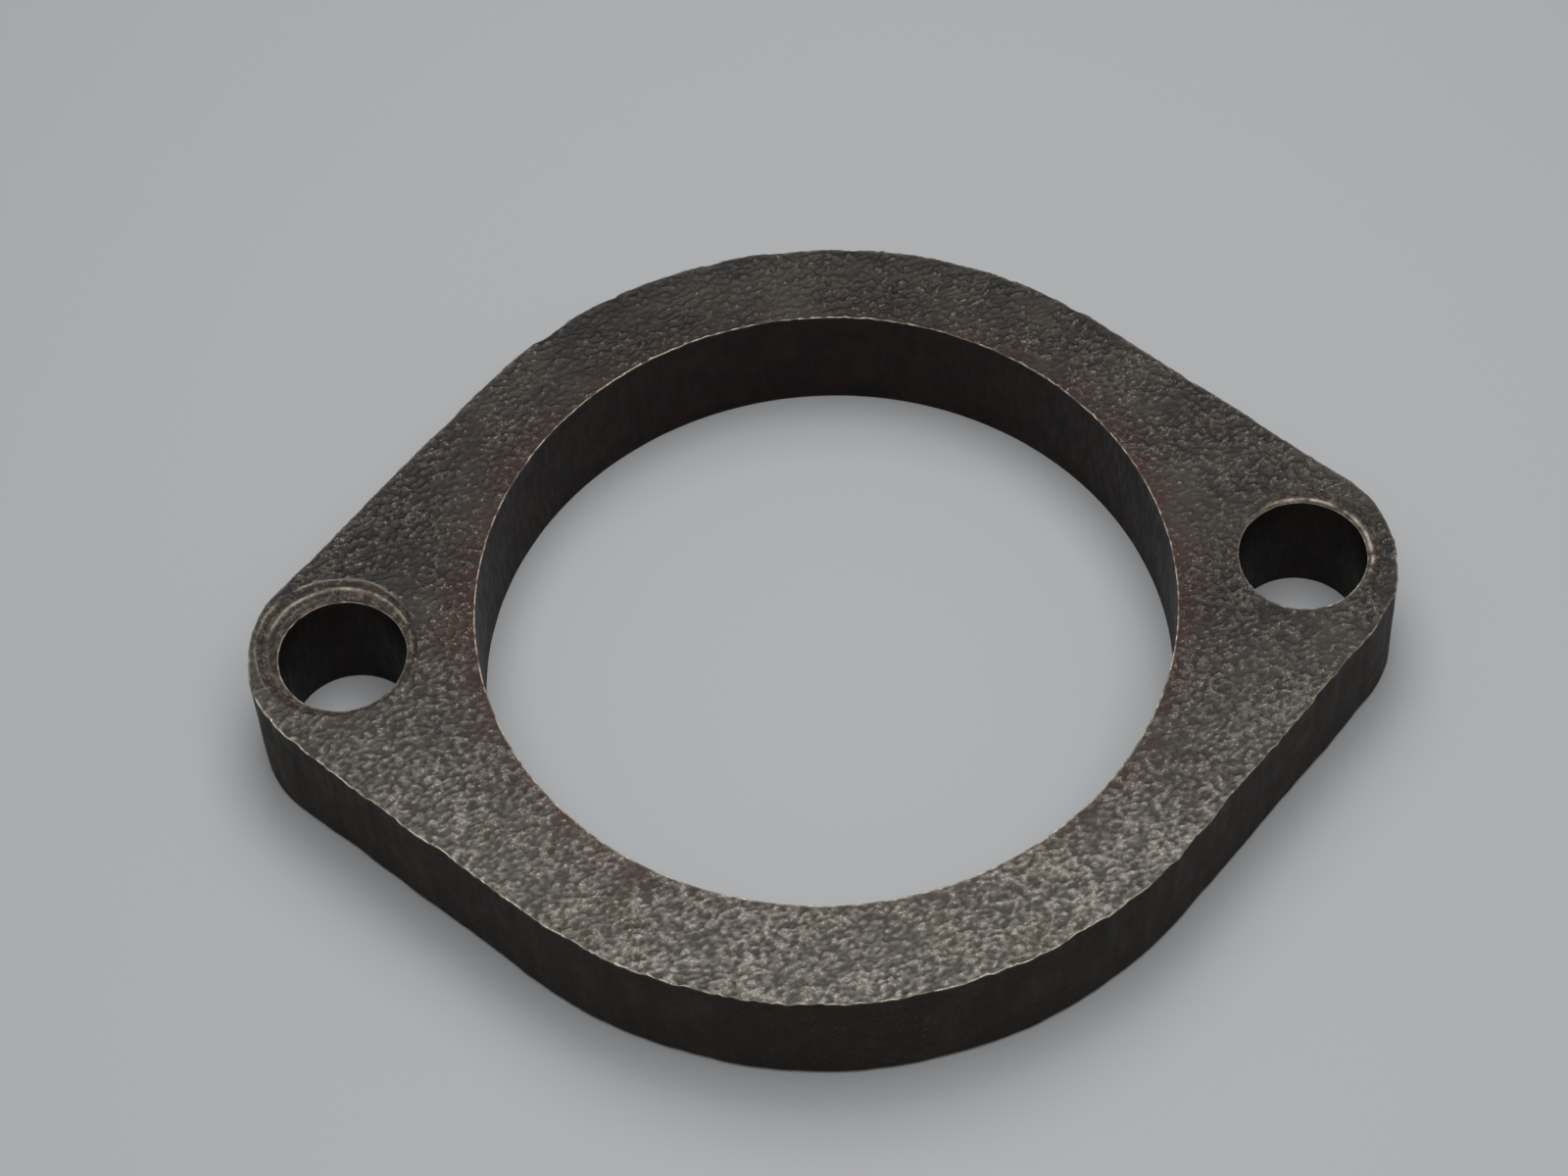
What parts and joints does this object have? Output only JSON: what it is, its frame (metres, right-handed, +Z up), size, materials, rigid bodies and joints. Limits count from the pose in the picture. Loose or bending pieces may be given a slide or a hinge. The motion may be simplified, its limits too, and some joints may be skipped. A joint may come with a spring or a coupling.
{
  "type": "two-bolt pipe flange plate",
  "caption": "Thick one-piece oval flange plate with a large round pipe bore and a bolt hole in each ear.",
  "frame": {"origin": "centre of the pipe bore, on the bottom face", "axes": "+X along the line of the two bolt holes, +Z up through the plate along the pipe bore"},
  "size_m": [0.0986, 0.0768, 0.012],
  "materials": {
    "scaled_metal": "dark brown-grey pebbled mill scale, thin rust tint, bare bright burrs along the edges"
  },
  "bodies": {
    "root": {"flange_plate": "scaled_metal"}
  },
  "joints": []
}
